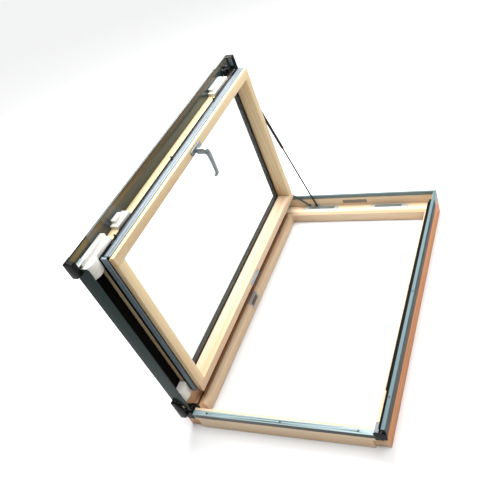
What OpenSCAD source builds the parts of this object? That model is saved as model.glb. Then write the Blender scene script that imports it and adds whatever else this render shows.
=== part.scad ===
// Side-hung roof window: pine frame, open sash, outer covers, handle and stay.

/* [Frame] */
// Outer width of the frame across the roof
frame_width = 780; // [600:10:1000]
// Outer length of the frame up the roof
frame_length = 1180; // [900:10:1400]
// Height of the stiles and head rail from the underside
stile_height = 118.5; // [110:0.5:130]
// Height of the bottom rail from the underside
bottom_height = 82.5; // [78:0.5:86]
// Width of the stiles across their base
stile_width = 56; // [50:1:60]
// Width of the head rail across its base
head_width = 61; // [56:1:66]
// Depth of the bottom rail across its base
bottom_depth = 64; // [58:1:68]
// Height of the ledge the closed sash rests over
ledge_height = 55; // [50:0.5:58]
// Thickness of the riser at the outer side of each stile
riser = 13; // [12:0.5:15]
// Thickness of the riser at the outer side of the head rail
head_riser = 6.5; // [5:0.5:7]

/* [Sash] */
// Distance from the frame side to the sash hinge edge
sash_inset = 39.5; // [38:0.5:42]
// Distance from the frame front to the sash near edge
sash_start = 73; // [72:0.5:75]
// Thickness of each glass pane
glass_t = 4; // [3:0.5:5]
// Gap between the two panes
cavity = 12; // [8:1:14]
// Depth of the edge rebate that holds the glass
rebate = 18; // [14:1:20]
// Gap between the closed sash and the ledge
sash_gap = 2.5; // [2:0.1:3.5]
// Angle at which the sash stands open
open_angle = 88; // [80:1:88]

/* [Covers] */
// Overhang of the outer covers beyond the frame sides
cover_overhang = 22; // [18:1:28]
// Thickness of the cover sheet
sheet = 1.5; // [1:0.1:1.8]
// Thickness of the frame cladding sheet
clad = 1.2; // [0.8:0.1:1.5]
// Height at which the frame cladding starts
clad_start = 72; // [68:1:76]

/* [Hardware] */
// Distance from each frame end to the middle of a hinge
hinge_setback = 190; // [160:5:240]
// Diameter of the hinge pins
hinge_pin_d = 5; // [4:0.5:6]
// Length of the handle lever
lever_length = 110; // [90:1:125]
// Outer diameter of the gas strut tube
strut_tube_d = 13; // [10:0.5:13]
// Diameter of the gas strut rod
strut_rod_d = 7; // [5:0.5:8]
// Length of each lock keeper
keeper_len = 58; // [40:1:70]
// Distance of the strut foot from the hinge side of the frame
foot_x = 184; // [170:1:200]
// Length of the limiter arm between its ends
arm_length = 112; // [90:1:125]

/* [Fits] */
// Radial clearance of turning and sliding fits
running_fit = 0.05; // [0.02:0.01:0.09]
// Gap left between neighbouring moving faces
side_gap = 0.4; // [0.3:0.1:0.8]
// Gap between the hinge knuckles and the covers above them
cover_clear = 1; // [0.5:0.5:4]

/* [Hidden] */
eps = 0.5;
sash_width = frame_width - 2 * sash_inset;
sash_z = ledge_height + sash_gap;
leaf_t = 2.5;
hinge_pin_r = hinge_pin_d / 2;
knuckle_r = hinge_pin_r + 2.5;
knuckle_len = 26;
cover_rise = riser + leaf_t + knuckle_r + cover_clear;
sash_depth = stile_height + cover_rise - sash_z;
sash_member = stile_width - 21;
glass_bed = 2;
glass_lip = 0.5;
outer_face = glass_bed + 2 * glass_t + cavity;
glass_depth = sash_depth - outer_face - glass_lip;
glass_edge = rebate + 3;
strut_room = strut_tube_d - 0.5;
head_face = frame_length - head_riser;
sash_end = head_face - strut_room;
sash_length = sash_end - sash_start;
groove = 6;
proud = 3;
side_band = [13, 36];
side_seal = [36, 51];
near_band = [26, 45];
near_seal = [45, 57];
near_lip = [20, 26];
bevel_drop = 10;
bevel_run = 11;
ledge_x = stile_width - bevel_run;
rail_end = ledge_x - 2;
stile_start = 8;
clad_y = 5;
front_drop = 64;
front_lap = 20;
rail_step = 30;
head_start = frame_length - head_width;
head_lip = 0.8;
seal_x = [22, 29];
seal_seat = 3;
seal_rise = 1.2;
gasket_t = 9;
gasket_drop = 11.5;
slot_near = frame_length - 37;
slot_far = head_face - 1;
slot_lip = 0.4;
left_slot = [109, 314, 128, 288];
right_slot = [frame_width - 325, frame_width - 118, frame_width - 310, frame_width - 156];
slot_edge = [12, 8, 5];
plate_x = frame_width / 2 - 68;
plate_len = 121;
block_depth = 46;
block_low = 60;
block_front = 2.5;
block_top = bottom_height + clad;
block_high = block_top + 14.3;
post_top = block_top + 18;
insert_t = 6.3;
screw_r = 2;
screw_head_r = 3.5;
screw_head_t = 1.6;
screw_y = 11;
rail_screw_xs = [100, frame_width / 2 + 6, frame_width - 98];
stile_screw_ys = [123, frame_length / 2 - 6];
cover_base = sash_depth;
cover_top = cover_base + sheet;
cap_t = 2;
cap_top = cover_top + cap_t;
cap_low = block_high - sash_z + 12.5;
cover_left = -cover_overhang - sash_inset;
cover_right = frame_width + cover_overhang - sash_inset;
far_right = cover_right - 7;
far_rail_y = sash_end - 101;
far_wall = 3;
skirt_y = 3;
skirt_low = block_top - sash_z + 5.8;
skirt_fold = 4.5;
far_skirt_y = frame_length + 2;
far_skirt_low = cover_base - 32.5;
cover_lap = 30;
cover_notch = 60;
high_d = stile_height + clad - sash_z + 1.8;
white_u = frame_width - riser - gasket_t - 3.5 - sash_inset;
white_high_u = white_u + 13;
white_d = cover_base - 30.5;
arc_r = cover_base - (block_top + insert_t - sash_z) - 10;
hinge_x = cover_rise + 1.4;
hinge_z = stile_height - 3.1;
hinge_u = hinge_x - sash_inset;
hinge_d = hinge_z - sash_z;

// Hinge-side start of the far cap: it stays above the bare head face with the sash open.
cap_left = max(cover_left, hinge_u - (hinge_z - clad_start - cover_clear) / sin(open_angle));
hinge_ys = [hinge_setback, frame_length - hinge_setback];
handle_u = frame_width - stile_width - sash_inset - 9.5;
handle_y = sash_start + sash_length / 2 + 14;
handle_half = 36;
handle_bore = 6;
lever_d = -45;
lever_half = 7;
strut_y = sash_end + strut_tube_d / 2 - 1.9;
foot_z = ledge_height + 9;
strut_u = sash_width - 117;
strut_d = 31;
closed_len = sqrt((strut_u + sash_inset - foot_x) ^ 2 + (strut_d + sash_z - foot_z) ^ 2);
tube_len = closed_len - 134.2;
rod_lap = 40;
strut_eye = 6;
arm_x = 143;
arm_z = ledge_height + 8;
arm_y = strut_y + strut_rod_d / 2 + 0.6;
arm_t = 2;
arm_lean = 45;
arm_pin_r = 2.5;
rail_d = 40.75;
rail_half = 3.7;
rail_t = 2.5;
stud_r = 3;
stud_len = 13.5;
keeper_ys = [sash_start + 92, handle_y - 81, sash_end - 241];
keeper_reach = 15;
keeper_low = stile_height - 34;
keeper_top = stile_height - gasket_drop - side_gap;
strut_ax = strut_u + sash_inset - hinge_x;
strut_az = strut_d + sash_z - hinge_z;
top_x = hinge_x + strut_ax * cos(open_angle) - strut_az * sin(open_angle);
top_z = hinge_z + strut_ax * sin(open_angle) + strut_az * cos(open_angle);
strut_len = sqrt((top_x - foot_x) ^ 2 + (top_z - foot_z) ^ 2);
strut_lean = atan2(foot_x - top_x, top_z - foot_z);

// Places children drawn from the frame's near outer corner.
module placed() {
    translate([-frame_width / 2, -frame_length / 2, 0]) children();
}

// Places children drawn in sash space: x across, y up the roof, z outward.
module in_sash() {
    placed()
        translate([hinge_x, 0, hinge_z])
            rotate([0, -open_angle, 0])
                translate([-hinge_u, 0, -hinge_d])
                    children();
}

// A box given by two opposite corners.
module span(a, b) {
    translate(a) cube([b[0] - a[0], b[1] - a[1], b[2] - a[2]]);
}

// A rod along the roof, with its centre at x and z.
module along_y(x, z, y0, y1, r) {
    translate([x, y1, z])
        rotate([90, 0, 0])
            cylinder(r = r, h = y1 - y0, $fn = 48);
}

// A section drawn in x and z, run up the roof from y0 to y1.
module run_y(y0, y1) {
    translate([0, y1, 0]) rotate([90, 0, 0]) linear_extrude(y1 - y0) children();
}

// A section drawn in y and z, run across the roof from x0 to x1.
module run_x(x0, x1) {
    translate([x0, 0, 0])
        rotate([90, 0, 90])
            linear_extrude(x1 - x0) children();
}

// Section of a stile with its outer face at zero.
module stile_section(r) {
    polygon([
        [0, 0],
        [stile_width, 0],
        [stile_width, ledge_height - bevel_drop],
        [ledge_x, ledge_height],
        [r, ledge_height],
        [r, stile_height],
        [clad, stile_height],
        [clad, clad_start],
        [0, clad_start]
    ]);
}

module hinge_stile() {
    color("burlywood") placed() difference() {
        run_y(stile_start, head_start) stile_section(riser);
        span(
            [seal_x[0], 0, ledge_height - seal_seat],
            [seal_x[1], head_start + eps, ledge_height + eps]
        );
        span([rail_end, -eps, -eps], [stile_width + eps, bottom_depth, ledge_height + eps]);
    }
}

module lock_stile() {
    color("burlywood") placed() difference() {
        translate([frame_width, 0, 0]) mirror([1, 0, 0])
            run_y(stile_start, head_start) stile_section(riser);
        span(
            [frame_width - stile_width - eps, -eps, -eps],
            [frame_width - rail_end, bottom_depth, ledge_height + eps]
        );
        span(
            [frame_width - stile_width - eps, handle_y - 45, ledge_height - bevel_drop - 2],
            [frame_width - ledge_x, handle_y + 45, ledge_height + eps]
        );
    }
}

module head_rail() {
    color("burlywood") placed() difference() {
        union() {
            run_x(0, frame_width) polygon([
                [head_start, 0],
                [frame_length, 0],
                [frame_length, clad_start],
                [frame_length - clad, clad_start],
                [frame_length - clad, stile_height],
                [head_face, stile_height],
                [head_face, ledge_height],
                [head_start + bevel_run, ledge_height],
                [head_start, ledge_height - bevel_drop]
            ]);
            span([0, head_start, ledge_height - bevel_drop], [riser, head_face, stile_height]);
            span(
                [frame_width - riser, head_start, ledge_height - bevel_drop],
                [frame_width, head_face, stile_height]
            );
        }
        for (x = [-eps, frame_width - clad]) {
            span(
                [x, head_start - eps, clad_start],
                [x + clad + eps, frame_length + eps, stile_height + eps]
            );
        }
        slot_recess(left_slot);
        slot_recess(right_slot);
    }
}

// Shallow seat of a slot plate with a deeper mortise below it.
module slot_recess(s) {
    translate([0, 0, ledge_height - clad]) linear_extrude(clad + eps) slot_outline(s);
    slot_cut(s, ledge_height - 3.5, ledge_height);
}

// Outline of a slot plate: longer at its near edge than at its far edge.
module slot_outline(s) {
    polygon([[s[0], slot_near], [s[1], slot_near], [s[3], slot_far], [s[2], slot_far]]);
}

// The long slot itself, between two heights.
module slot_cut(s, z0, z1) {
    span(
        [s[2] + slot_edge[0], slot_near + slot_edge[1], z0],
        [s[3] - slot_edge[0], slot_far - slot_edge[2], z1]
    );
}

// Plate with a long slot let into the head rail ledge.
module slot_plate(s) {
    difference() {
        translate([0, 0, ledge_height - clad]) linear_extrude(clad + slot_lip) slot_outline(s);
        slot_cut(s, 0, stile_height);
    }
}

module left_slot_plate() {
    color("silver") placed() slot_plate(left_slot);
}

module right_slot_plate() {
    color("silver") placed() slot_plate(right_slot);
}

module bottom_rail() {
    notch_x = 11;
    color("burlywood") placed() difference() {
        run_x(rail_end, frame_width - rail_end) polygon([
            [0, 0],
            [bottom_depth, 0],
            [bottom_depth, 14],
            [bottom_depth - 16, ledge_height - 9],
            [bottom_depth - 20, ledge_height],
            [rail_step, ledge_height],
            [rail_step, bottom_height + 1],
            [front_lap, bottom_height + 1],
            [front_lap, bottom_height],
            [clad, bottom_height],
            [clad, front_drop],
            [0, front_drop]
        ]);
        span([0, -eps, -eps], [rail_end + notch_x, stile_start, ledge_height - 5]);
        span(
            [frame_width - rail_end - notch_x, -eps, -eps],
            [frame_width, stile_start, ledge_height - 5]
        );
    }
}

// Cladding sheet over the outer side and top of a stile.
module stile_cladding() {
    run_y(stile_start, head_start)
        translate([0, clad_start]) square([clad, stile_height + clad - clad_start]);
    run_y(clad_y, head_start) translate([0, stile_height]) square([riser, clad]);
}

module hinge_cladding() {
    color("darkslategray") placed() stile_cladding();
}

module lock_cladding() {
    color("darkslategray") placed()
        translate([frame_width, 0, 0]) mirror([1, 0, 0]) stile_cladding();
}

module head_cladding() {
    color("darkslategray") placed() union() {
        span([0, frame_length - clad, clad_start], [frame_width, frame_length, stile_height + clad]);
        span([0, head_face - head_lip, stile_height], [frame_width, frame_length, stile_height + clad]);
        span(
            [riser, head_face - head_lip, stile_height - 18],
            [frame_width - riser, head_face, stile_height + clad]
        );
        for (x = [0, frame_width - clad]) {
            span([x, head_start, clad_start], [x + clad, frame_length, stile_height + clad]);
        }
        for (x = [0, frame_width - riser]) {
            span([x, head_start, stile_height], [x + riser, frame_length, stile_height + clad]);
        }
    }
}

module bottom_cladding() {
    color("slategray") placed() difference() {
        union() {
            span([rail_end, 0, front_drop], [frame_width - rail_end, clad, block_top]);
            span([rail_end, 0, bottom_height], [frame_width - rail_end, front_lap, block_top]);
        }
        for (x = rail_screw_xs) {
            translate([x, screw_y, bottom_height - 1]) cylinder(r = screw_r, h = 4, $fn = 24);
        }
    }
}

module cladding_screws() {
    color("dimgray") placed() union() {
        for (x = rail_screw_xs) {
            translate([x, screw_y, bottom_height]) cylinder(r = screw_r, h = clad + 1, $fn = 24);
            translate([x, screw_y, block_top]) screw_head();
        }
        for (y = stile_screw_ys) {
            translate([frame_width - riser / 2 - 1, y, stile_height + clad]) screw_head();
        }
    }
}

// Round head of a cladding screw.
module screw_head() {
    cylinder(r = screw_head_r, h = screw_head_t, $fn = 32);
}

module lock_gasket() {
    color("black") placed() span(
        [frame_width - riser - gasket_t, stile_start, stile_height - gasket_drop],
        [frame_width - riser, head_start, stile_height + 0.8]
    );
}

module ledge_seal() {
    color("saddlebrown") placed() span(
        [seal_x[0], block_depth, ledge_height - seal_seat],
        [seal_x[1], head_start, ledge_height + seal_rise]
    );
}

// Corner block that closes the near end of a stile.
module corner_block() {
    union() {
        span([0, 0, block_low], [rail_end, block_front, block_high]);
        span([0, 0, block_low], [rail_end, clad_y, block_top]);
        span([clad, 0, block_low], [rail_end, stile_start, block_top]);
        span([clad, clad_y, block_low], [riser, stile_start, stile_height]);
        span([riser, 0, ledge_height], [rail_end, block_depth, block_top]);
    }
}

module left_corner_block() {
    color("black") placed() union() {
        corner_block();
        span([riser, clad_y, ledge_height], [rail_end - 7, 34, post_top]);
    }
}

module right_corner_block() {
    color("black") placed() translate([frame_width, 0, 0]) mirror([1, 0, 0]) corner_block();
}

module corner_insert() {
    color("gray") placed() span(
        [frame_width - rail_end, stile_start, block_top],
        [frame_width - 28, block_depth, block_top + insert_t]
    );
}

module lock_keepers() {
    color("wheat") placed() for (y = keeper_ys) {
        span(
            [frame_width - riser - keeper_reach, y, keeper_top - 5],
            [frame_width - riser, y + keeper_len, keeper_top]
        );
        span(
            [frame_width - riser - 3, y, keeper_low],
            [frame_width - riser, y + keeper_len, keeper_top]
        );
    }
}

module strike_plate() {
    t = clad;
    edge = ledge_x - 8;
    low = 18;
    near = handle_y - 86;
    far = handle_y - 13;
    color("silver") placed() difference() {
        run_y(near, far) polygon([
            [edge, ledge_height],
            [ledge_x, ledge_height],
            [stile_width, ledge_height - bevel_drop],
            [stile_width, low],
            [stile_width + t, low],
            [stile_width + t, ledge_height - bevel_drop + 0.5],
            [ledge_x + 0.5, ledge_height + t],
            [edge, ledge_height + t]
        ]);
        for (z = [24, 32, 40]) {
            span([stile_width - 1, near + 8, z], [stile_width + t + 1, far - 8, z + 3]);
        }
    }
}

module data_plate() {
    color("silver") placed() span(
        [plate_x, head_face - 0.8, 68],
        [plate_x + plate_len, head_face, 87]
    );
}

// Frame half of each hinge: a leaf on the riser and two outer knuckles.
module frame_hinge_leaves() {
    color("dimgray") placed() for (y = hinge_ys) {
        difference() {
            union() {
                span(
                    [riser, y - 1.5 * knuckle_len, hinge_z - 30],
                    [riser + leaf_t, y + 1.5 * knuckle_len, hinge_z + 2]
                );
                for (k = [-1.5, 0.5]) {
                    along_y(hinge_x, hinge_z, y + k * knuckle_len, y + (k + 1) * knuckle_len, knuckle_r);
                    span(
                        [riser, y + k * knuckle_len, hinge_z - 3],
                        [hinge_x, y + (k + 1) * knuckle_len, hinge_z + 2]
                    );
                }
            }
            along_y(hinge_x, hinge_z, y - 2 * knuckle_len, y + 2 * knuckle_len, hinge_pin_r);
        }
    }
}

module hinge_pins() {
    color("silver") placed() for (y = hinge_ys) {
        along_y(hinge_x, hinge_z, y - 1.5 * knuckle_len - 1, y + 1.5 * knuckle_len + 1, hinge_pin_r);
    }
}

// Sash half of each hinge: the middle knuckle and a leaf on the sash edge.
module sash_hinge_leaves() {
    half = knuckle_len / 2 - side_gap;
    color("dimgray") in_sash() for (y = hinge_ys) {
        difference() {
            union() {
                along_y(hinge_u, hinge_d, y - half, y + half, knuckle_r);
                span([hinge_u, y - half, hinge_d - 2], [0, y + half, hinge_d + 3]);
                span([-leaf_t, y - 35, hinge_d - 3], [0, y + 35, sash_depth - 2]);
            }
            along_y(hinge_u, hinge_d, y - knuckle_len, y + knuckle_len, hinge_pin_r + running_fit);
        }
    }
}

module strut_foot_bracket() {
    color("dimgray") placed() union() {
        span(
            [foot_x - 14, strut_y + strut_rod_d / 2 + side_gap, ledge_height + slot_lip],
            [foot_x + 14, head_face, foot_z + 8]
        );
    }
}

module arm_foot_bracket() {
    color("dimgray") placed() union() {
        along_y(arm_x, arm_z, arm_y, head_face, arm_pin_r);
        span(
            [arm_x - 8, arm_y + arm_t + side_gap, ledge_height + slot_lip],
            [arm_x + 8, head_face, arm_z + 6]
        );
    }
}

module limiter_arm() {
    color("slategray") placed() translate([arm_x, 0, arm_z]) rotate([0, -arm_lean, 0]) difference() {
        union() {
            along_y(0, 0, arm_y, arm_y + arm_t, 5.5);
            span([-4.5, arm_y, 0], [4.5, arm_y + arm_t, arm_length]);
            along_y(0, arm_length, arm_y, arm_y + arm_t, 4.5);
        }
        along_y(0, 0, arm_y - 1, arm_y + arm_t + 1, arm_pin_r + running_fit);
    }
}

// Section of a side member of the sash with its outer edge at zero.
module sash_section() {
    polygon([
        [0, 0],
        [sash_member, 0],
        [sash_member, glass_depth],
        [rebate, glass_depth],
        [rebate, sash_depth],
        [0, sash_depth],
        [0, side_seal[1]],
        [groove, side_seal[1]],
        [groove, side_band[0]],
        [0, side_band[0]]
    ]);
}

module sash_hinge_stile() {
    color("burlywood") in_sash() difference() {
        run_y(sash_start, sash_end) sash_section();
        near_groove();
        far_groove();
    }
}

module sash_lock_stile() {
    color("burlywood") in_sash() difference() {
        translate([sash_width, 0, 0]) mirror([1, 0, 0])
            run_y(sash_start, sash_end) sash_section();
        near_groove();
        far_groove();
    }
}

// Groove for profile and gasket along the near edge of the sash.
module near_groove() {
    span(
        [-eps, sash_start - eps, near_lip[0]],
        [sash_width + eps, sash_start + groove, near_seal[1]]
    );
}

// Groove and strut clearance along the far edge of the sash.
module far_groove() {
    span(
        [-eps, sash_end - groove, side_band[0]],
        [sash_width + eps, sash_end + eps, side_seal[1]]
    );
    span(
        [foot_x - sash_inset - 26.5, sash_end - proud, -eps],
        [strut_u + 41, sash_end + eps, side_band[0] + 1]
    );
}

module sash_near_rail() {
    color("burlywood") in_sash() difference() {
        union() {
            span(
                [sash_member, sash_start, 0],
                [sash_width - sash_member, sash_start + sash_member, glass_depth]
            );
            span([rebate, sash_start, glass_depth], [sash_width - rebate, sash_start + rebate, sash_depth]);
        }
        near_groove();
    }
}

module sash_far_rail() {
    color("burlywood") in_sash() difference() {
        union() {
            span(
                [sash_member, sash_end - sash_member, 0],
                [sash_width - sash_member, sash_end, glass_depth]
            );
            span([rebate, sash_end - rebate, glass_depth], [sash_width - rebate, sash_end, sash_depth]);
        }
        far_groove();
    }
}

module sash_near_profile() {
    face = sash_start - proud;
    color("lightsteelblue") in_sash() difference() {
        span([0, face, near_band[0]], [sash_width, sash_start + groove, near_band[1]]);
        span([-eps, face - eps, 34.5], [sash_width + eps, face + 1, 36.5]);
    }
}

module sash_side_profiles() {
    a = side_band[0];
    b = side_band[1];
    near = sash_start + groove;
    color("lightsteelblue") in_sash() union() {
        difference() {
            span([sash_width - groove, near, a], [sash_width + proud, sash_end, b]);
            span(
                [sash_width + proud - 1, sash_start, a + 10],
                [sash_width + proud + 1, sash_end + 1, a + 12]
            );
        }
        span([0, near, a], [groove, sash_end, b]);
        span([groove, sash_end - groove, a], [sash_width - groove, sash_end - proud, b]);
    }
}

module sash_near_gasket() {
    far = sash_start + groove;
    color("black") in_sash() union() {
        span([0, sash_start - 1.5, near_seal[0]], [sash_width, far, near_seal[1]]);
        span([0, sash_start + 1, near_lip[0]], [sash_width, far, near_lip[1]]);
    }
}

module sash_side_gaskets() {
    a = side_seal[0];
    b = side_seal[1];
    near = sash_start + groove;
    color("black") in_sash() union() {
        span([sash_width - groove, near, a], [sash_width, sash_end, b]);
        span([sash_width, near, b - 5.5], [sash_width + 2, sash_end, b]);
        span([0, near, a], [groove, sash_end, b]);
        span([groove, sash_end - groove, a], [sash_width - groove, sash_end - proud, b]);
    }
}

// One pane between given distances from the interior face.
module pane(d0) {
    span(
        [glass_edge, sash_start + glass_edge, d0],
        [sash_width - glass_edge, sash_end - glass_edge, d0 + glass_t]
    );
}

// Rectangular ring inside the sash opening.
module ring(s0, s1, d0, d1) {
    difference() {
        span([s0, sash_start + s0, d0], [sash_width - s0, sash_end - s0, d1]);
        span([s1, sash_start + s1, d0 - 1], [sash_width - s1, sash_end - s1, d1 + 1]);
    }
}

module glazing_gasket() {
    inner = glass_depth + glass_bed;
    color("black") in_sash() union() {
        ring(rebate, sash_member + 9, glass_depth, inner);
        ring(rebate, glass_edge, inner, sash_depth);
        ring(glass_edge, sash_member + 7, glass_depth + outer_face, sash_depth);
    }
}

module inner_pane() {
    color("lightcyan") in_sash() pane(glass_depth + glass_bed);
}

module outer_pane() {
    color("lightcyan") in_sash() pane(glass_depth + outer_face - glass_t);
}

module pane_spacer() {
    color("silver") in_sash() ring(
        glass_edge,
        glass_edge + 12,
        glass_depth + glass_bed + glass_t,
        glass_depth + outer_face - glass_t
    );
}

module hinge_face_plate() {
    color("lightslategray") in_sash() span([0, handle_y - 51, -clad], [19, handle_y + 34, 0]);
}

module near_cover() {
    low = skirt_low;
    color("darkslategray") in_sash() union() {
        span(
            [cover_left + cover_notch, skirt_y, cover_base],
            [cover_right, sash_start + cover_lap, cover_top]
        );
        run_y(skirt_y, skirt_y + sheet) polygon([
            [-27, low],
            [sash_width + 28, low],
            [sash_width + 28, cover_top],
            [42, cover_top]
        ]);
        span([0, skirt_y, low], [sash_width + 21, skirt_y + skirt_fold, low + clad]);
    }
}

module far_cover() {
    edge = far_right - far_wall;
    color("darkslategray") in_sash() union() {
        span([cover_left, sash_end - cover_lap, cover_base], [edge, far_skirt_y, cover_top]);
        span(
            [cover_left + 62, far_skirt_y - sheet, far_skirt_low],
            [edge, far_skirt_y, cover_top]
        );
    }
}

module hinge_cover() {
    color("darkslategray") in_sash() span(
        [cover_left, sash_start + cover_lap, cover_base],
        [cover_lap, sash_end - cover_lap, cover_top]
    );
}

module lock_cover() {
    inner = sash_width - cover_lap;
    near = sash_start + cover_lap;
    color("darkslategray") in_sash() union() {
        span([inner, near, cover_base], [cover_right, far_rail_y, cover_top]);
        span([inner, near, cover_base], [far_right - far_wall, sash_end - cover_lap, cover_top]);
        span([cover_right - sheet, near, cover_base - 5], [cover_right, far_rail_y, cover_top]);
    }
}

module near_hinge_cap() {
    edge = 35;
    back = -eps;
    color("black") in_sash() union() {
        run_y(back - 9.5, back) polygon([
            [edge, cap_top],
            [cover_left, cap_top],
            [cover_left, cap_top - 22],
            [cover_left + 18, cap_top - 34],
            [-12, cap_top - 36],
            [16, cap_top - 26],
            [edge, cap_top - 16]
        ]);
        span([cover_left, back, cover_top], [edge, sash_start + cover_lap, cap_top]);
    }
}

module near_lock_cap() {
    a = sash_width + 4;
    back = skirt_y - eps;
    color("black") in_sash() union() {
        run_y(back - 16, back) polygon([
            [cover_right, cap_top],
            [cover_right, cap_low + 2],
            [a + 36, cap_low],
            [a + 7, cap_low],
            [a + 7, cap_low + 11],
            [a, cap_low + 13],
            [a, cap_top]
        ]);
        span([a, back, cover_top], [cover_right, back + 18, cap_top]);
    }
}

module far_caps() {
    wall = far_right - far_wall;
    end = far_skirt_y;
    color("black") in_sash() union() {
        span([wall, far_rail_y, cap_top - 8], [far_right, end, cap_top]);
        span([wall, end - 26, far_skirt_low], [far_right, end, cap_top]);
        span([sash_width + 19, end - 40, cover_top], [far_right, end, cap_top]);
        span([cap_left, end - 40, cover_top], [-14, end + cap_t, cap_top]);
        span([cap_left, end, cover_top - 24], [-14, end + cap_t, cap_top]);
    }
}

module foam_strip() {
    color("black") in_sash() span(
        [60, skirt_y + sheet, cover_base - 8.5],
        [sash_width - 37, sash_start, cover_base]
    );
}

module lock_corner_block() {
    near = 22;
    mid = 45;
    far = 150;
    inner = sash_width - 36;
    color("white") in_sash() union() {
        span([sash_width, mid, white_d], [white_u, far, cover_base]);
        span([sash_width, mid, high_d], [white_high_u, far, cover_base]);
        span([inner, near, cover_base - 22.5], [white_u, sash_start, cover_base]);
        span([inner, near, high_d], [white_high_u, sash_start, cover_base]);
        corner_round(inner, white_u);
    }
}

// Quarter round that turns from the near skirt up to the cover, run across the roof.
module corner_round(x0, x1) {
    intersection() {
        span([x0, skirt_y + sheet, cover_base - arc_r], [x1, sash_start - proud, cover_base]);
        translate([x0, skirt_y + sheet + arc_r, cover_base])
            rotate([0, 90, 0])
                cylinder(r = arc_r, h = x1 - x0, $fn = 64);
    }
}

module hinge_corner_block() {
    color("white") in_sash() corner_round(6, 58);
}

module cover_clips() {
    color("white") in_sash() union() {
        clip(sash_start + 122, 73);
        clip(sash_end - 211, 130);
    }
}

// Stepped clip between the sash edge and the cover.
module clip(y, len) {
    step = sash_width + 12;
    span([sash_width, y, white_d], [step, y + len, cover_base]);
    span([step, y + 14, high_d], [step + 11, y + len - 18, cover_base]);
}

module cap_bracket() {
    u = white_high_u + 1;
    color("silver") in_sash() union() {
        span([u, skirt_y + sheet, high_d], [u + 2, 44, cover_base]);
        span([u, skirt_y + sheet, high_d], [u + 19, skirt_y + 4, cover_base]);
    }
}

module strut_stud() {
    color("silver") in_sash() union() {
        along_y(strut_u, strut_d, sash_end - proud, sash_end - 1, 6);
        along_y(strut_u, strut_d, sash_end - proud, strut_y + 3, 3);
        along_y(strut_u, strut_d, strut_y + 3, strut_y + 4.5, 5);
    }
}

module handle_base() {
    color("silver") in_sash() difference() {
        union() {
            span([handle_u - 5, handle_y - handle_half, -5], [handle_u + 17, handle_y + handle_half, 0]);
            translate([handle_u, handle_y, -12]) cylinder(r = handle_bore + 3, h = 12, $fn = 64);
        }
        translate([handle_u, handle_y, -13])
            cylinder(r = handle_bore + running_fit, h = 9, $fn = 64);
    }
}

module handle_lever() {
    tip = handle_u - lever_length;
    near = handle_y - lever_half;
    far = handle_y + lever_half;
    color("silver") in_sash() union() {
        translate([handle_u, handle_y, -38]) cylinder(r = handle_bore, h = 33, $fn = 64);
        translate([handle_u, handle_y, lever_d - 5]) cylinder(r = 7.5, h = 12, $fn = 64);
        span([tip, near, lever_d - 5], [handle_u, far, lever_d + 4]);
        translate([tip, far, lever_d]) rotate([90, 0, 0]) cylinder(r = 5, h = far - near, $fn = 48);
        span([tip - 4, near, lever_d], [tip + 3, far, lever_d + 12]);
    }
}

module lock_rail() {
    color("dimgray") in_sash() union() {
        span(
            [sash_width, sash_start + 57, rail_d - rail_half],
            [sash_width + rail_t, sash_end - 61, rail_d + rail_half]
        );
        for (y = keeper_ys) {
            translate([sash_width + rail_t - eps, y - 8, rail_d])
                rotate([0, 90, 0])
                    cylinder(r = stud_r, h = stud_len, $fn = 32);
        }
    }
}

module strut_tube() {
    color("black") placed() translate([foot_x, strut_y, foot_z]) rotate([0, -strut_lean, 0])
        difference() {
            union() {
                translate([0, 0, strut_len - tube_len])
                    cylinder(r = strut_tube_d / 2, h = tube_len - 12, $fn = 64);
                translate([-4, -2.5, strut_len - 13]) cube([8, 5, 13]);
                translate([0, 2.5, strut_len]) rotate([90, 0, 0]) cylinder(r = strut_eye, h = 5, $fn = 48);
            }
            translate([0, 6, strut_len])
                rotate([90, 0, 0])
                    cylinder(r = 3 + running_fit, h = 12, $fn = 48);
            translate([0, 0, strut_len - tube_len - 1])
                cylinder(r = strut_rod_d / 2 + running_fit, h = tube_len - 20, $fn = 48);
        }
}

module strut_rod() {
    reach = strut_len - tube_len + rod_lap;
    color("dimgray") placed() translate([foot_x, strut_y, foot_z]) rotate([0, -strut_lean, 0])
        difference() {
            union() {
                translate([0, 0, 4]) cylinder(r = strut_rod_d / 2, h = reach - 4, $fn = 48);
                translate([0, 2.5, 0]) rotate([90, 0, 0]) cylinder(r = 5, h = 5, $fn = 48);
            }
            translate([0, 6, 0])
                rotate([90, 0, 0])
                    cylinder(r = 2 + running_fit, h = 12, $fn = 48);
        }
}

hinge_stile();
lock_stile();
head_rail();
bottom_rail();
hinge_cladding();
lock_cladding();
head_cladding();
bottom_cladding();
lock_gasket();
ledge_seal();
cladding_screws();
left_corner_block();
right_corner_block();
corner_insert();
lock_keepers();
strike_plate();
left_slot_plate();
right_slot_plate();
data_plate();
frame_hinge_leaves();
hinge_pins();
strut_foot_bracket();
arm_foot_bracket();
limiter_arm();
sash_hinge_stile();
sash_lock_stile();
sash_near_rail();
sash_far_rail();
sash_near_profile();
sash_side_profiles();
sash_near_gasket();
sash_side_gaskets();
inner_pane();
outer_pane();
pane_spacer();
glazing_gasket();
sash_hinge_leaves();
hinge_face_plate();
near_cover();
far_cover();
hinge_cover();
lock_cover();
near_hinge_cap();
near_lock_cap();
far_caps();
foam_strip();
lock_corner_block();
hinge_corner_block();
cover_clips();
cap_bracket();
strut_stud();
handle_base();
handle_lever();
lock_rail();
strut_tube();
strut_rod();
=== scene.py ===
import math

import bmesh
import bpy
import numpy as np
from mathutils import Matrix


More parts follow.
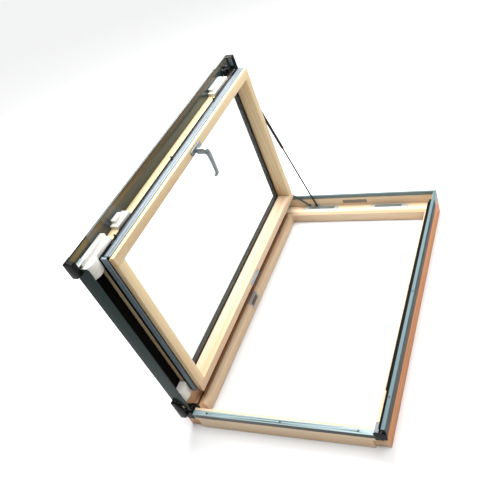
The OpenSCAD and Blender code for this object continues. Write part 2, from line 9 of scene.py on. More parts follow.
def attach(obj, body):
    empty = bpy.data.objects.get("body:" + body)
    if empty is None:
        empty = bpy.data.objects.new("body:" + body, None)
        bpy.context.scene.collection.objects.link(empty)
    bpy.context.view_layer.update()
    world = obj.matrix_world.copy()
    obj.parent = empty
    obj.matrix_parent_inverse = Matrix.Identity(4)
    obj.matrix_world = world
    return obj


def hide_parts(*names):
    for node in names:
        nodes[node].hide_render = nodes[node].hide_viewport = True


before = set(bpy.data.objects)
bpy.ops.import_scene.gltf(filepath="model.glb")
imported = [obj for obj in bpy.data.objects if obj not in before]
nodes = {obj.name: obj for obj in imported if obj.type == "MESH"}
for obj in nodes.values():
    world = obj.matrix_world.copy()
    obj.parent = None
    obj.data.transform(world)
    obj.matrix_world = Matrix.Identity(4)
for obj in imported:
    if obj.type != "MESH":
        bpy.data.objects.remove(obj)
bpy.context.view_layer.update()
print("frame loaded:", len(nodes), "nodes")

cameraView = {  # metres and unit directions
    "place": (0.94467, -1.46245, 1.82403),
    "right": (0.93017432, 0.25459083, -0.26449809),
    "down": (-0.01481776, -0.69384798, -0.71996904),
    "forward": (-0.36681898, 0.67361598, -0.64162711),
    "lens": 42.94,
    "shift": (-0.1688, -0.0359),
    "sensor": 36.0,
    "clip": (0.05, 60.0),
}


def makeCamera(view):
    data = bpy.data.cameras.new("camera")
    data.lens, data.sensor_width = view["lens"], view["sensor"]
    data.shift_x, data.shift_y = view["shift"]
    data.clip_start, data.clip_end = view["clip"]
    cam = bpy.data.objects.new("camera", data)
    bpy.context.scene.collection.objects.link(cam)
    r, d, f = (np.array(view[k]) for k in ("right", "down", "forward"))
    turn = np.eye(4)
    turn[:3, 0], turn[:3, 1], turn[:3, 2] = r, -d, -f
    turn[:3, 3] = view["place"]
    cam.matrix_world = Matrix(turn.tolist())
    bpy.context.scene.camera = cam


studio = {
    "floorSize": 60.0,
    "floorDrop": 0.0015,  # just under the frame
    "sky": ((0.95, 0.97, 1.0), 0.2),
    "sun": ((0.24, 0.02, 1.0), 4.3, 46.0),  # from, strength, width in degrees
    "panel": ((-0.6, 1.3, 2.3), (-0.2, 0.0, 0.4), 1.8, 130.0),  # place, aim, size, watts
}


def aimed(place, aim):
    # a lamp shines along its own -Z
    back = np.array(place, float) - np.array(aim, float)
    back /= np.linalg.norm(back)
    side = np.cross((0.0, 1.0, 0.0), back)
    side /= np.linalg.norm(side)
    m = np.eye(4)
    m[:3, 0], m[:3, 1], m[:3, 2], m[:3, 3] = side, np.cross(back, side), back, place
    return Matrix(m.tolist())


def makeStudio(s):
    half, low = s["floorSize"] / 2, -s["floorDrop"]
    mesh = bpy.data.meshes.new("floor")
    corners = [(-half, -half, low), (half, -half, low), (half, half, low), (-half, half, low)]
    mesh.from_pydata(corners, [], [(0, 1, 2, 3)])
    floor = bpy.data.objects.new("floor", mesh)
    bpy.context.scene.collection.objects.link(floor)
    world = bpy.data.worlds.new("studio")
    bpy.context.scene.world = world
    world.use_nodes = True
    sky = next(n for n in world.node_tree.nodes if n.type == "BACKGROUND")
    sky.inputs["Color"].default_value = (*s["sky"][0], 1)
    sky.inputs["Strength"].default_value = s["sky"][1]
    place, strength, width = s["sun"]
    sun = bpy.data.lights.new("sun", "SUN")
    sun.energy, sun.angle = strength, math.radians(width)
    lamp = bpy.data.objects.new("sun", sun)
    bpy.context.scene.collection.objects.link(lamp)
    lamp.matrix_world = aimed(place, (0, 0, 0))
    place, aim, size, watts = s["panel"]
    panel = bpy.data.lights.new("panel", "AREA")
    panel.size, panel.energy = size, watts
    lamp = bpy.data.objects.new("panel", panel)
    bpy.context.scene.collection.objects.link(lamp)
    lamp.matrix_world = aimed(place, aim)
    return floor


makeCamera(cameraView)
floor = makeStudio(studio)
bpy.context.scene.view_settings.view_transform = "Standard"
print("camera and studio placed")


class Wire:
    # one output socket; sums and products of wires add Math nodes
    def __init__(self, finish, out):
        self.finish, self.out = finish, out

    def maths(self, operation, a, b):
        return self.finish.make("ShaderNodeMath", {"operation": operation}, {0: a, 1: b})

    def __add__(self, other):
        return self.maths("ADD", self, other)

    def __sub__(self, other):
        return self.maths("SUBTRACT", self, other)

    def __mul__(self, other):
        return self.maths("MULTIPLY", self, other)

    def __rsub__(self, other):
        return self.maths("SUBTRACT", other, self)

    __radd__ = __add__
    __rmul__ = __mul__


class Finish:
    # one material; fixed values go on the shader's own sockets
    def __init__(self, name, **fixed):
        self.material = bpy.data.materials.new(name)
        self.material.use_nodes = True
        self.tree = self.material.node_tree
        self.shader = next(n for n in self.tree.nodes if n.type == "BSDF_PRINCIPLED")
        for key, value in fixed.items():
            self.shader.inputs[key.replace("_", " ")].default_value = value
        self.place = self.make("ShaderNodeTexCoord", out="Object")

    def make(self, kind, settings=None, values=None, out=0):
        node = self.tree.nodes.new(kind)
        for key, value in (settings or {}).items():
            if key == "stops":
                for stop, (at, colour) in zip(self.stopsOf(node, len(value)), value):
                    stop.position, stop.color = at, (*colour, 1)
            else:
                setattr(node, key, value)
        for key, value in (values or {}).items():
            if isinstance(value, Wire):
                self.tree.links.new(value.out, node.inputs[key])
            else:
                node.inputs[key].default_value = value
        return Wire(self, node.outputs[out])

    def stopsOf(self, node, count):
        stops = node.color_ramp.elements
        while len(stops) < count:
            stops.new(0.5)
        return stops

    def feed(self, socket, wire):
        self.tree.links.new(wire.out, self.shader.inputs[socket])

    def blend(self, factor, a, b):
        a, b = ((*c, 1) if isinstance(c, tuple) else c for c in (a, b))
        return self.make("ShaderNodeMix", {"data_type": "RGBA"}, {0: factor, 6: a, 7: b}, out=2)

    def stretched(self, axis, along, across):
        # object coordinates scaled one way along an axis and another way across it
        scale = [across] * 3
        scale[axis] = along
        return self.make("ShaderNodeMapping", None, {"Vector": self.place, "Scale": tuple(scale)})

    def noise(self, vector, scale, detail=2.0):
        return self.make("ShaderNodeTexNoise", None, {"Vector": vector, "Scale": scale, "Detail": detail})

    def ramp(self, wire, *stops):
        return self.make("ShaderNodeValToRGB", {"stops": stops}, {"Fac": wire})

    def window(self, wire, low, high):
        # 0 below low, 1 above high, straight between
        return self.make("ShaderNodeMapRange", None, {"Value": wire, "From Min": low, "From Max": high})

    def axis(self, name):
        return self.make("ShaderNodeSeparateXYZ", None, {"Vector": self.place}, out=name)

    def between(self, wire, low, high, soft):
        # 1 from low to high, with a soft edge past each
        return self.window(wire, low, low + soft) * (1 - self.window(wire, high, high + soft))

    def bump(self, height, distance, strength):
        values = {"Height": height, "Distance": distance, "Strength": strength}
        self.feed("Normal", self.make("ShaderNodeBump", None, values))


def linear(code):
    # a six-digit screen colour as linear numbers
    v = [int(code[i:i + 2], 16) / 255 for i in (0, 2, 4)]
    return tuple(x / 12.92 if x <= 0.04045 else ((x + 0.055) / 1.055) ** 2.4 for x in v)


def lighter(colour):
    return tuple(min(1, c * 1.5 + 0.01) for c in colour)


def darker(colour, share):
    return tuple(c * share for c in colour)


alongX, alongY, alongZ = 0, 1, 2
frameHalf = (390.0, 590.0)  # mm, from the near outer corner to the middle
hingeLine = {"x": 22.9, "z": 115.4, "u": -16.6, "d": 57.9, "open": math.radians(88)}  # mm

pineLook = {
    "light": "d9c5a8",
    "golden": "dac69f",
    "shaded": "cfb9a0",
    "tint": "c98f64",  # darker, warmer wood on the hinge side of the frame stiles
    "late": "b1834c",  # the darker wood of each ring
    "warm": "cda272",
    "ringPitch": 0.0046,
    "wander": 0.012,
    "show": {"late": 0.3, "fibre": 0.14, "warm": 0.55, "tint": 0.6, "cut": 0.75, "lateStain": 0.6},
    "stain": "c67d3c",  # outer side faces
    "lateStain": "9a5420",
    "cut": "b07c43",  # sawn ends
    "gloss": 0.4,
}


def pine(name, along, heart=(0.31, 0.0, -0.23), tone="light", stainFrom=None, cutAt=None, tintTo=None):
    # growth rings are the distance from a far line along the grain, plus slow noise
    look = pineLook
    show = look["show"]
    colour = {k: linear(look[k]) for k in (tone, "late", "warm", "tint", "cut", "stain", "lateStain")}
    f = Finish(name, Specular_IOR_Level=0.3, Coat_Weight=0.05, Coat_Roughness=0.3)
    slow = f.stretched(along, 0.06, 1.0)
    flat = [1.0, 1.0, 1.0]
    flat[along] = 0.0
    across = f.make("ShaderNodeVectorMath", {"operation": "MULTIPLY"}, {0: f.place, 1: tuple(flat)})
    off = f.make("ShaderNodeVectorMath", {"operation": "ADD"}, {0: across, 1: heart})
    radius = f.make("ShaderNodeVectorMath", {"operation": "LENGTH"}, {0: off}, out="Value")
    pitch = look["ringPitch"]
    phase = radius * (1 / pitch) + f.noise(slow, 8.0, 3.0) * (2 * look["wander"] / pitch)
    rings = f.make("ShaderNodeMath", {"operation": "FRACT"}, {0: phase})
    late = f.ramp(rings, (0.0, (0, 0, 0)), (0.55, (0.2, 0.2, 0.2)), (0.88, (1, 1, 1)), (1.0, (0, 0, 0)))
    fibres = f.noise(f.stretched(along, 9.0, 700.0), 1.0)
    body = f.blend(late * show["late"] + fibres * show["fibre"], colour[tone], colour["late"])
    patches = f.window(f.noise(slow, 26.0), 0.46, 0.7)
    body = f.blend(patches * show["warm"], body, colour["warm"])
    if tintTo:
        hingeSide = 1 - f.window(f.axis("X"), tintTo - 0.004, tintTo)
        body = f.blend(hingeSide * show["tint"], body, colour["tint"])
    if cutAt:
        ends = 1 - f.window(f.axis("Y"), cutAt, cutAt + 0.0004)
        body = f.blend(ends * show["cut"], body, colour["cut"])
    if stainFrom:
        outer = f.window(f.axis("X"), stainFrom, stainFrom + 0.0008)
        stain = f.blend(late * show["lateStain"], colour["stain"], colour["lateStain"])
        body = f.blend(outer, body, stain)
    f.feed("Base Color", body)
    f.feed("Roughness", look["gloss"] + 0.16 * fibres)
    f.bump(late * 0.6 + fibres * 0.5, 0.0002, 0.5)
    return f.material


lacquerLook = {"grain": 900.0, "depth": 0.0001}


def lacquered(name, colour, rough=0.4, second=None, gloss=0.5, coat=0.1):
    # coated sheet; second = (axis, from, colour) recolours the part past a height; on the claddings this
    # lighter colour is a painted highlight on the faces that catch the light
    f = Finish(name, Specular_IOR_Level=gloss, Coat_Weight=coat, Coat_Roughness=0.2)
    grain = f.noise(f.place, lacquerLook["grain"])
    clouds = f.noise(f.place, 6.0, 3.0)
    base = linear(colour)
    tone = f.blend(clouds * 0.14, base, lighter(base))
    if second:
        axis, start, other = second
        # on the claddings this lighter part is the painted highlight
        patch = f.blend(clouds * 0.4, linear(other), darker(linear(other), 0.82))
        tone = f.blend(f.window(f.axis(axis), start, start + 0.0005), tone, patch)
    f.feed("Base Color", tone)
    f.feed("Roughness", rough + 0.12 * (clouds - 0.5) + 0.05 * grain)
    f.bump(grain, lacquerLook["depth"], 0.4)
    return f.material


# where the painted reflection of the wood lies on the covers' inner faces
coverWoodReflection = {  # metres
    "skin": (0.0248, 0.0254),  # past the inner face, short of the outer one
    "starts": (0.8655, 0.8765),
    "stops": (0.888, 0.8915),
    "waver": 0.004,
    "show": 0.9,
}


def coverInside(name, colour, reflectionColour, gloss, coat):
    # coated sheet whose inner face carries a painted reflection of the warm wood along the free edge of the
    # cover
    f = Finish(name, Specular_IOR_Level=gloss, Coat_Weight=coat, Coat_Roughness=0.12)
    clouds = f.noise(f.place, 7.0, 3.0)
    lean = (math.sin(hingeLine["open"]), math.cos(hingeLine["open"]))
    outwards = f.axis("X") + frameHalf[0] / 1000 - hingeLine["x"] / 1000
    rise = (f.axis("Z") - hingeLine["z"] / 1000) * lean[1] - outwards * lean[0]
    inner = 1 - f.window(rise, *coverWoodReflection["skin"])
    across = f.axis("Z") + coverWoodReflection["waver"] * (clouds - 0.5)
    # painted reflection of the wood, on the inner face only
    woodReflection = f.window(across, *coverWoodReflection["starts"]) * (1 - f.window(across, *coverWoodReflection["stops"])) * inner
    base = linear(colour)
    tone = f.blend(clouds * 0.16, base, lighter(base))
    f.feed("Base Color", f.blend(woodReflection * coverWoodReflection["show"], tone, linear(reflectionColour)))
    f.feed("Roughness", 0.24 + 0.14 * clouds)
    f.bump(f.noise(f.place, lacquerLook["grain"]), lacquerLook["depth"], 0.3)
    return f.material


strikeSlot = {"height": (0.029, 0.047), "ends": (-0.036, 0.018), "soft": 0.0008}  # metres


def strikeFinish(name):
    # plate with one slot along it, not cut but painted dark as painted shade inside the slot
    f = Finish(name, Metallic=0.4)
    soft = strikeSlot["soft"]
    near, far = strikeSlot["ends"]
    tall = f.between(f.axis("Z"), *strikeSlot["height"], soft)
    slot = tall * f.between(f.axis("Y"), near, far - soft, soft)
    grain = f.noise(f.place, 60.0, 3.0)
    plate = f.blend(grain * 0.5, linear("b3acac"), linear("958e90"))
    # the slot's dark colour is painted shade
    f.feed("Base Color", f.blend(slot, plate, linear("2b2220")))
    f.feed("Roughness", 0.3 + 0.3 * grain)
    f.bump(grain - slot, 0.0006, 0.5)
    return f.material


def metal(name, colour, rough, along=alongY, amount=0.6):
    # drawn metal: long fine scratches along one axis
    f = Finish(name, Metallic=amount)
    lines = f.noise(f.stretched(along, 18.0, 1400.0), 1.0)
    base = linear(colour)
    f.feed("Base Color", f.blend(lines * 0.4, base, darker(base, 0.66)))
    f.feed("Roughness", rough + 0.14 * lines)
    f.bump(lines, 0.00008, 0.4)
    return f.material


def moulded(name, colour, rough, grainSize=1100.0, depth=0.0001, gloss=0.3):
    # plastic or rubber: a fine pebbled grain over faint clouds of shade
    f = Finish(name, Specular_IOR_Level=gloss)
    grain = f.noise(f.place, grainSize, 3.0)
    clouds = f.noise(f.place, 14.0, 3.0)
    base = linear(colour)
    f.feed("Base Color", f.blend(clouds * 0.4, base, darker(base, 0.82)))
    f.feed("Roughness", rough + 0.12 * (grain - 0.5))
    f.bump(grain, depth, 0.6)
    return f.material


def paneGlass(name):
    # nearly clear, with a faint smear
    f = Finish(name, Roughness=0.02)
    smear = f.noise(f.place, 6.0, 4.0)
    f.feed("Base Color", f.blend(smear * 0.4, linear("e6efec"), linear("d2dfdc")))
    f.feed("Alpha", 0.04 + 0.04 * smear)
    return f.material


def floorFinish():
    f = Finish("floorPaper", Roughness=0.9, Specular_IOR_Level=0.1)
    f.feed("Base Color", f.blend(f.noise(f.place, 3.0) * 0.3, (0.6, 0.6, 0.6), (0.58, 0.58, 0.58)))
    return f.material


finishes = {
    "stileWood": pine("stileWood", alongY, stainFrom=0.3886, cutAt=-0.5822, tintTo=-0.345),
    "railWood": pine("railWood", alongX, heart=(0.0, -0.3, -0.4), stainFrom=0.3886),
    "sashStileWood": pine("sashStileWood", alongY, (0.05, 0.0, -0.6), "golden", cutAt=-0.5172),
    "hingeStileWood": pine("hingeStileWood", alongY, (0.3, 0.0, -0.5), "shaded", cutAt=-0.5172),
    "sashRailWood": pine("sashRailWood", alongZ, (0.6, 0.3, 0.0), "golden"),
    # the third colour is the painted reflection of the wood on each cover's inner face
    "skirtLacquer": coverInside("skirtLacquer", "1b2d2b", "75633f", 0.12, 0.0),
    "coverLacquer": coverInside("coverLacquer", "263a3b", "705e3d", 0.35, 0.3),
    # head cladding: the same coat as the other claddings, painted lighter as a painted reflection
    "lipLacquer": lacquered("lipLacquer", "566a6c", gloss=0.4),
    # side claddings: dark coat on the sides, tops painted lighter as a painted highlight
    "sideLacquer": lacquered("sideLacquer", "1f2e2b", 0.4, ("Z", 0.1188, "5b7074"), gloss=0.12, coat=0.0),
    # bottom cladding: all but its dark front face is painted lighter, a painted highlight on its top
    "lowerLacquer": lacquered("lowerLacquer", "1d2a29", 0.32, ("Y", -0.5898, "8b9fa2"), gloss=0.4),
    "drawnAluminium": metal("drawnAluminium", "69757d", 0.36, amount=0.2),
    "nearAluminium": metal("nearAluminium", "7a8a93", 0.42, alongZ, amount=0.2),
    "plateSilver": metal("plateSilver", "c4cac8", 0.3, alongX, amount=0.45),
    "plateGrey": metal("plateGrey", "7b7972", 0.45, alongX, amount=0.2),
    "handleSatin": metal("handleSatin", "81888b", 0.27, alongZ),
    "plateSatin": metal("plateSatin", "9aa4ad", 0.3, alongZ),
    "zincSteel": metal("zincSteel", "70797c", 0.36),
    "paleSteel": lacquered("paleSteel", "a5bac4", gloss=0.6),
    "darkScrew": metal("darkScrew", "33393a", 0.4, amount=0.5),
    "strikeFinish": strikeFinish("strikeFinish"),
    "trayGrey": lacquered("trayGrey", "6d7570", gloss=0.4, second=("Z", 0.0554, "c3c7bf")),
    "armSteel": metal("armSteel", "4f5f61", 0.4, alongZ, amount=0.3),
    "blackTube": lacquered("blackTube", "0f0e0d", rough=0.35, gloss=0.4),
    "gasketRubber": moulded("gasketRubber", "060707", 0.6, gloss=0.06),
    "glazingRubber": moulded("glazingRubber", "0d0906", 0.6),
    "ledgeSealBrown": moulded("ledgeSealBrown", "4f3013", 0.6),
    "blackMoulding": moulded("blackMoulding", "0c0c0b", 0.42, gloss=0.13),
    "greyRibbed": moulded("greyRibbed", "545d60", 0.5, 500.0, 0.0003, gloss=0.8),
    "whiteMoulding": moulded("whiteMoulding", "d6d4cc", 0.4),
    "beigeMoulding": moulded("beigeMoulding", "7b7466", 0.45),
    # near-black foam strip: partly the foam's own black, partly painted shade of the cavity between cover
    # and sash
    "foamAndCavityShade": moulded("foamAndCavityShade", "050403", 0.95, 420.0, 0.001, gloss=0.08),
    "paneGlass": paneGlass("paneGlass"),
}
floor.data.materials.append(floorFinish())

wearing = {
    "stileWood": ["hinge_stile", "lock_stile"],
    "railWood": ["head_rail", "bottom_rail"],
    "sashStileWood": ["sash_lock_stile"],
    "hingeStileWood": ["sash_hinge_stile"],
    "sashRailWood": ["sash_near_rail", "sash_far_rail"],
    "skirtLacquer": ["near_cover", "hinge_cover"],
    "coverLacquer": ["far_cover", "lock_cover"],
    "sideLacquer": ["hinge_cladding", "lock_cladding"],
    "lipLacquer": ["head_cladding"],
    "lowerLacquer": ["bottom_cladding"],
    "drawnAluminium": ["sash_side_profiles"],
    "nearAluminium": ["sash_near_profile"],
    "plateSilver": ["left_slot_plate", "right_slot_plate", "cap_bracket", "strut_foot_bracket"],
    "plateSatin": ["hinge_face_plate"],
    "strikeFinish": ["strike_plate"],
    "darkScrew": ["cladding_screws"],
    "plateGrey": ["data_plate"],
    "handleSatin": ["handle_base", "handle_lever"],
    "zincSteel": [
        "frame_hinge_leaves", "hinge_pins", "sash_hinge_leaves", "strut_stud", "arm_foot_bracket",
    ],
    "armSteel": ["limiter_arm"],
    "blackTube": ["strut_tube", "strut_rod", "lock_rail"],
    "gasketRubber": ["lock_gasket", "sash_near_gasket", "sash_side_gaskets"],
    "glazingRubber": ["glazing_gasket", "pane_spacer"],
    "ledgeSealBrown": ["ledge_seal"],
    "blackMoulding": [
        "left_corner_block", "right_corner_block", "near_hinge_cap", "near_lock_cap", "far_caps",
    ],
    "greyRibbed": ["corner_insert"],
    "whiteMoulding": ["lock_corner_block", "hinge_corner_block", "cover_clips"],
    "beigeMoulding": ["lock_keepers"],
    "foamAndCavityShade": ["foam_strip"],
    "paneGlass": ["inner_pane", "outer_pane"],
}
edgeRounding = {  # metres, by finish
    "stileWood": 0.0011, "railWood": 0.0011,
    "sashStileWood": 0.0009, "hingeStileWood": 0.0009, "sashRailWood": 0.0009,
    "skirtLacquer": 0.0006, "coverLacquer": 0.0005, "lipLacquer": 0.0004,
    "sideLacquer": 0.0004, "lowerLacquer": 0.0004,
    "drawnAluminium": 0.0005, "nearAluminium": 0.0005, "plateSilver": 0.0003, "plateGrey": 0.0002,
    "plateSatin": 0.0003, "strikeFinish": 0.0003, "darkScrew": 0.0003,
    "handleSatin": 0.0009, "zincSteel": 0.0004, "armSteel": 0.0004, "blackTube": 0.0004,
    "gasketRubber": 0.0008, "glazingRubber": 0.0002, "ledgeSealBrown": 0.0006, "blackMoulding": 0.0014,
    "greyRibbed": 0.0008, "whiteMoulding": 0.0012, "beigeMoulding": 0.001, "foamAndCavityShade": 0.0015,
    "paneGlass": 0.0,
}
rounding = {"weld": 0.00001, "segments": 2, "from": math.radians(35)}  # weld in metres


def roundEdges(part, width):
    # joins the loose triangles, then rounds the edges that turn sharply
    part.data.polygons.foreach_set("use_smooth", np.ones(len(part.data.polygons), bool))
    weld = part.modifiers.new("weld", "WELD")
    weld.merge_threshold = rounding["weld"]
    bevel = part.modifiers.new("bevel", "BEVEL")
    bevel.width, bevel.segments = width, rounding["segments"]
    bevel.limit_method, bevel.angle_limit = "ANGLE", rounding["from"]
    bevel.harden_normals = True


for finish, names in wearing.items():
    for name in names:
        nodes[name].data.materials.clear()
        nodes[name].data.materials.append(finishes[finish])
        if edgeRounding[finish] > 0:
            roundEdges(nodes[name], edgeRounding[finish])
dressed = {name for names in wearing.values() for name in names}
print("finishes given; nodes left bare:", sorted(set(nodes) - dressed))


# new pieces are grids of points in mm, in sash space or frame space
def fromSash(p):
    # across, up the roof and outward (mm) to the shared frame (m), with the sash open
    u, y, d = p[..., 0] - hingeLine["u"], p[..., 1], p[..., 2] - hingeLine["d"]
    c, s = math.cos(hingeLine["open"]), math.sin(hingeLine["open"])
    x, z = hingeLine["x"] + u * c - d * s, hingeLine["z"] + u * s + d * c
    return np.stack([x - frameHalf[0], y - frameHalf[1], z], -1) / 1000


def fromFrame(p):
    # from the frame's near outer corner (mm) to the shared frame (m)
    return (p - np.array([*frameHalf, 0.0])) / 1000


def skin(name, sheets, finish, body, replaced=()):
    # joins grids of points into one closed, outward-facing mesh
    points, quads, start = [], [], 0
    for grid in sheets:
        n, m = grid.shape[:2]
        index = np.arange(n * m).reshape(n, m) + start
        right = np.roll(index, -1, 1)
        quads.append(np.stack([index[:-1], right[:-1], right[1:], index[1:]], -1).reshape(-1, 4))
        points.append(grid.reshape(-1, 3))
        start += n * m
    mesh = bpy.data.meshes.new(name)
    mesh.from_pydata(np.concatenate(points).tolist(), [], np.concatenate(quads).tolist())
    work = bmesh.new()
    work.from_mesh(mesh)
    bmesh.ops.remove_doubles(work, verts=work.verts, dist=0.000005)
    bmesh.ops.recalc_face_normals(work, faces=work.faces)
    work.to_mesh(mesh)
    work.free()
    mesh.polygons.foreach_set("use_smooth", np.ones(len(mesh.polygons), bool))
    piece = bpy.data.objects.new(name, mesh)
    bpy.context.scene.collection.objects.link(piece)
    mesh.materials.append(finishes[finish])
    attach(piece, body)
    if replaced:
        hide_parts(*replaced)


def roundedRing(count, power):
    # superellipse: |x|^power + |y|^power = 1
    t = np.linspace(0, 2 * np.pi, count, endpoint=False)
    c, s = np.cos(t), np.sin(t)
    return np.sign(c) * np.abs(c) ** (2 / power), np.sign(s) * np.abs(s) ** (2 / power)


def spline(points, count):
    # uniform cubic B-spline through doubled end points
    p = np.array([points[0]] * 2 + list(points) + [points[-1]] * 2, float)
    t = np.linspace(0, len(p) - 3 - 1e-6, count)
    i = t.astype(int)
    f = (t - i)[:, None]
    first, second = (1 - f) ** 3, 3 * f ** 3 - 6 * f ** 2 + 4
    third, fourth = -3 * f ** 3 + 3 * f ** 2 + 3 * f + 1, f ** 3
    return (first * p[i] + second * p[i + 1] + third * p[i + 2] + fourth * p[i + 3]) / 6


def lathe(base, axis, profile, count):
    # a profile turned round an axis; its rows are (distance along the axis, radius)
    axis = np.array(axis, float) / np.linalg.norm(axis)
    a = np.cross(axis, (0.3, 0.9, 0.31))
    a /= np.linalg.norm(a)
    b = np.cross(axis, a)
    t = np.linspace(0, 2 * np.pi, count, endpoint=False)[:, None]
    ring = np.cos(t) * a + np.sin(t) * b
    h, r = np.array(profile, float).T
    return np.array(base, float) + h[:, None, None] * axis + r[:, None, None] * ring


def tube(path, side, halfWide, halfThick, power=3.0, count=28):
    # superellipse section carried along a path: half width along side, half thickness across it
    along = np.gradient(path, axis=0)
    along /= np.linalg.norm(along, axis=1)[:, None]
    side = np.array(side, float)
    out = np.cross(along, side)
    out /= np.linalg.norm(out, axis=1)[:, None]
    ends = np.sqrt(np.clip(1 - np.linspace(-1, 1, len(path)) ** 60, 0, 1))  # closes both tips
    c, r = roundedRing(count, power)
    wide = (np.ones(len(path)) * halfWide * ends)[:, None] * c
    thick = (np.ones(len(path)) * halfThick * ends)[:, None] * r
    return path[:, None] + wide[..., None] * side + thick[..., None] * out[:, None]


def straight(a, b, count=24):
    # points from a to b, closer together at both ends
    t = (1 - np.cos(np.linspace(0, np.pi, count))) / 2
    return np.array(a, float) + t[:, None] * (np.array(b, float) - np.array(a, float))


lever = {  # mm in sash space
    "y": 631.0,
    # across and outward, from the hub down the neck and along the bar
    "path": [
        (671.4, -4), (671.4, -18), (671.4, -30), (670, -39), (662, -44.5), (646, -46),
        (626, -46.5), (604, -46), (584, -45.5), (570, -44), (563, -39), (562, -31),
    ],
    "halfAlong": [8.4, 8.4, 8.4, 8.4, 8.4, 8.4, 8.4, 8.3, 8.2, 8.0, 7.4, 6.0],
    "halfThick": [12.0, 12.0, 12.0, 11.4, 9.2, 7.2, 6.2, 5.6, 5.4, 5.2, 4.8, 3.8],
    "steps": 96,
}


def makeLever(s):
    # a superellipse section carried along a bent spline, its two half sizes changing smoothly on the way
    steps = s["steps"]
    bend = spline(s["path"], steps)
    path = np.stack([bend[:, 0], np.full(steps, s["y"]), bend[:, 1]], -1)
    wide = spline([(v, 0) for v in s["halfAlong"]], steps)[:, 0]
    thick = spline([(v, 0) for v in s["halfThick"]], steps)[:, 0]
    grip = tube(path, (0, 1, 0), wide, thick)
    skin("leverGrip", [fromSash(grip)], "handleSatin", "handle", ["handle_lever"])


makeLever(lever)

handlePlate = {  # mm in sash space
    "centre": (681.0, 631.0),
    "half": (10.6, 36.5),
    "thick": 5.0,
    "rim": [(0, 0), (1, 0), (1, 0.55), (0.985, 0.85), (0.93, 1), (0.5, 1), (0, 1)],  # size, height
    "hub": (675.0, 631.0, 8.6, 11.0),  # across, along, radius, height
    "hubStart": -4.5,
    "hubBore": 6.2,
}


def makeHandlePlate(s):
    # a superellipse outline that shrinks over its rounded rim, and a turned hub on it
    c, r = roundedRing(64, 5.0)
    rim = np.array(s["rim"], float)
    size, height = rim[:, :1], rim[:, 1:]
    inset = (1 - size) * s["half"][0]
    whole = size >= 0.6  # these rows shrink by the same inset both ways
    size = np.where(whole, 1, size)
    grid = np.zeros((len(rim), 64, 3))
    grid[..., 0] = s["centre"][0] + (s["half"][0] - inset * whole) * size * c
    grid[..., 1] = s["centre"][1] + (s["half"][1] - inset * whole) * size * r
    grid[..., 2] = -height * s["thick"]
    u, y, radius, tall = s["hub"]
    bore = s["hubBore"]
    outside = [(0, 0), (0, radius), (tall * 0.7, radius), (tall, radius - 1.5)]
    hub = lathe((u, y, s["hubStart"]), (0, 0, -1), outside + [(tall, bore), (1, bore), (1, 0)], 48)
    sheets = [fromSash(grid), fromSash(hub)]
    skin("handlePlate", sheets, "handleSatin", "sash", ["handle_base"])


makeHandlePlate(handlePlate)
print("handle made")

strut = {  # mm in frame space
    "foot": (184.0, 1165.6, 64.0),
    "top": (70.744, 1165.6, 714.695),
    "tube": 306.0,
    "tubeRadius": 6.4,
    "rodRadius": 3.4,
    "rodGap": 0.25,
    "lap": 28,  # rod inside the tube with the sash open
    "solidEnd": 30,  # the bore stops here, clear of the rod with the sash shut
    "eye": 5,
}


def makeStrut(s):
    # two turned profiles on the line from foot to top, each with a turned eye at its outer end
    foot, top = np.array(s["foot"]), np.array(s["top"])
    length = np.linalg.norm(top - foot)
    axis = (top - foot) / length
    low, r, wide = length - s["tube"], s["tubeRadius"], s["eye"]
    bore = s["rodRadius"] + s["rodGap"]
    deep = length - s["solidEnd"]
    mouth = [(deep, bore), (low, bore), (low, 5.2), (low + 3, 6.1), (low + 9, 6.1), (low + 10, r)]
    body = [(low + 14, r), (length - 22, r), (length - 16, r - 1.2)]
    neck = [(length - 13, 3.2), (length - 6, 3.0), (length - 6, 0), (deep, 0)]
    profile = mouth + body + neck
    barrel = lathe(foot, axis, profile + profile[:1], 40)
    ring = [(0, 3.1), (0, 5.4), (0.6, 6), (wide - 0.6, 6), (wide, 5.4), (wide, 3.1), (0, 3.1)]
    eye = lathe(top - [0, wide / 2, 0], (0, 1, 0), ring, 32)
    sheets = [fromFrame(barrel), fromFrame(eye)]
    skin("strutTube", sheets, "blackTube", "strut_body", ["strut_tube"])
    q, end = s["rodRadius"], low + s["lap"]
    profile = [(2, 0), (2, 4.6), (4, 5.2), (12, 5.2), (16, 4.2), (18, q), (end, q), (end, 0)]
    rod = lathe(foot, axis, profile, 32)
    disc = [(0, 0), (0, 4.4), (0.6, 5), (wide - 0.6, 5), (wide, 4.4), (wide, 0)]
    eye = lathe(foot - [0, wide / 2, 0], (0, 1, 0), disc, 32)
    sheets = [fromFrame(rod), fromFrame(eye)]
    skin("strutRod", sheets, "blackTube", "strut_piston", ["strut_rod"])


makeStrut(strut)
print("strut made")

slotTray = {  # mm in frame space
    "left": (140.0, 276.0),
    "right": (482.0, 612.0),
    "across": (1151.0, 1167.5),
    "floor": 51.8,
    # how far each row of the section stands past the outline, and its height
    "rows": [
        (None, 0.4), (-1.4, 0.4), (-0.5, 3.6), (2.2, 4.1),
        (2.2, 3.7), (-0.2, 3.7), (-0.2, 0.0), (None, 0.0),
    ],
    "screws": [(124, 1150), (294, 1149), (284, 1161), (468, 1150), (640, 1149), (622, 1161)],
    "screwTop": 55.4,
    "screwSize": (3.0, 1.3),
}


def screwHeads(places, axis, radius, height):
    # domed heads with a round socket, one closed turning each
    r, h = radius, height
    dome = [(-0.5, 0), (-0.5, r), (h * 0.5, r), (h, r * 0.7)]
    socket = [(h, r * 0.32), (h * 0.5, r * 0.3), (h * 0.5, 0)]
    return [lathe(p, axis, dome + socket, 24) for p in places]


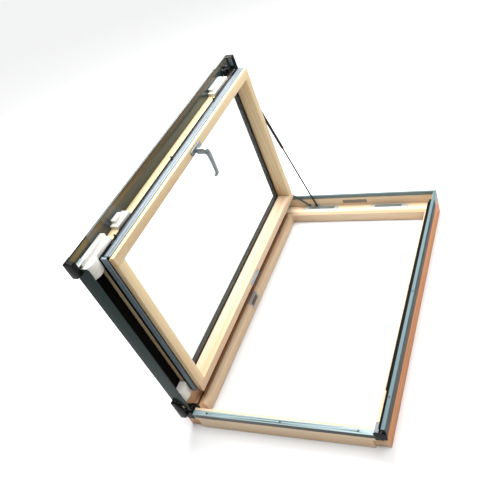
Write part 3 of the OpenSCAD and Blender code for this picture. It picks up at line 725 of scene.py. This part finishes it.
def makeSlotTrays(s):
    # a rounded outline that grows and shrinks from row to row; None closes it in the middle
    c, r = roundedRing(72, 8.0)
    for side in ("left", "right"):
        low, high = np.array([s[side][0], s["across"][0]]), np.array([s[side][1], s["across"][1]])
        middle, half = (low + high) / 2, (high - low) / 2
        grid = np.zeros((len(s["rows"]), 72, 3))
        for row, (grow, height) in zip(grid, s["rows"]):
            size = half * 0 if grow is None else half + grow
            row[:, 0], row[:, 1] = middle[0] + size[0] * c, middle[1] + size[1] * r
            row[:, 2] = s["floor"] + height
        skin(side + "SlotTray", [fromFrame(grid)], "trayGrey", "frame")
    places = [(x, y, s["screwTop"]) for x, y in s["screws"]]
    heads = screwHeads(places, (0, 0, 1), *s["screwSize"])
    skin("slotPlateScrews", [fromFrame(g) for g in heads], "plateSatin", "frame")


makeSlotTrays(slotTray)

sealLip = {"x": 754.6, "z": 107.9, "y": (152.0, 1117.0), "half": (4.4, 1.05)}  # mm in frame space


def makeSealLip(s):
    # a flat rounded section along a straight line beside the gasket
    path = straight((s["x"], s["y"][0], s["z"]), (s["x"], s["y"][1], s["z"]), 40)
    lip = tube(path, (1, 0, 0), *s["half"], power=2.4)
    skin("lockSealLip", [fromFrame(lip)], "gasketRubber", "frame")


makeSealLip(sealLip)

cornerLatch = {  # mm in sash space
    # from, to, outward, half width, half thickness
    "plate": ((714.0, 1096.0), (714.0, 1158.0), 80.8, 10.0, 1.2),
    "bed": ((702.4, 1081.0), (702.4, 1160.0), 67.0, 13.5, 1.2),
    "lining": ((709.0, 1176.4), (748.0, 1176.4), 71.3, 7.9, 1.0),
    # place, radius, height
    "drums": [((722, 1108, 81.5), 9.0, 13.0), ((716, 1132, 81.5), 6.5, 17.0), ((734, 1122, 81.5), 5.0, 9.0)],
    "link": [(722, 1108, 70), (727, 1118, 68.5), (722, 1127, 68), (716, 1134, 66)],
    "linkHalf": (1.6, 2.6),
    "screws": [(708, 1102), (710, 1144), (722, 1150), (728, 1138)],
    "screwTop": 79.7,
    "screwSize": (2.6, 2.0),
}


def strip(sizes, side, power):
    # a thin flat tube between two points at one height
    (u0, y0), (u1, y1), d, half, thick = sizes
    return tube(straight((u0, y0, d), (u1, y1, d)), side, half, thick, power)


def drum(place, r, h):
    # a turned post with a waist between two collars
    waist = r * 0.7
    lower = [(0, 0), (0, r), (h * 0.3, r), (h * 0.35, waist)]
    upper = [(h * 0.8, waist), (h * 0.86, r), (h, r * 0.9), (h, 0)]
    return lathe(place, (0, 0, -1), lower + upper, 40)


def makeCornerLatch(s):
    # a plate and its upright bed, three turned drums, and a link along a spline from drum to drum
    base = strip(s["plate"], (1, 0, 0), 6.0)
    bed = strip(s["bed"], (0, 0, 1), 6.0)
    drums = [drum(*d) for d in s["drums"]]
    link = tube(spline(s["link"], 32), (0, 0, 1), *s["linkHalf"], 2.5, 16)
    sheets = [fromSash(g) for g in (base, bed, *drums, link)]
    skin("cornerLatch", sheets, "blackTube", "sash")
    places = [(u, y, s["screwTop"]) for u, y in s["screws"]]
    heads = screwHeads(places, (0, 0, -1), *s["screwSize"])
    skin("cornerLatchScrews", [fromSash(g) for g in heads], "plateSatin", "sash")
    skin("capLining", [fromSash(strip(s["lining"], (0, 0, 1), 8.0))], "paleSteel", "sash")


makeCornerLatch(cornerLatch)
print("fittings made")
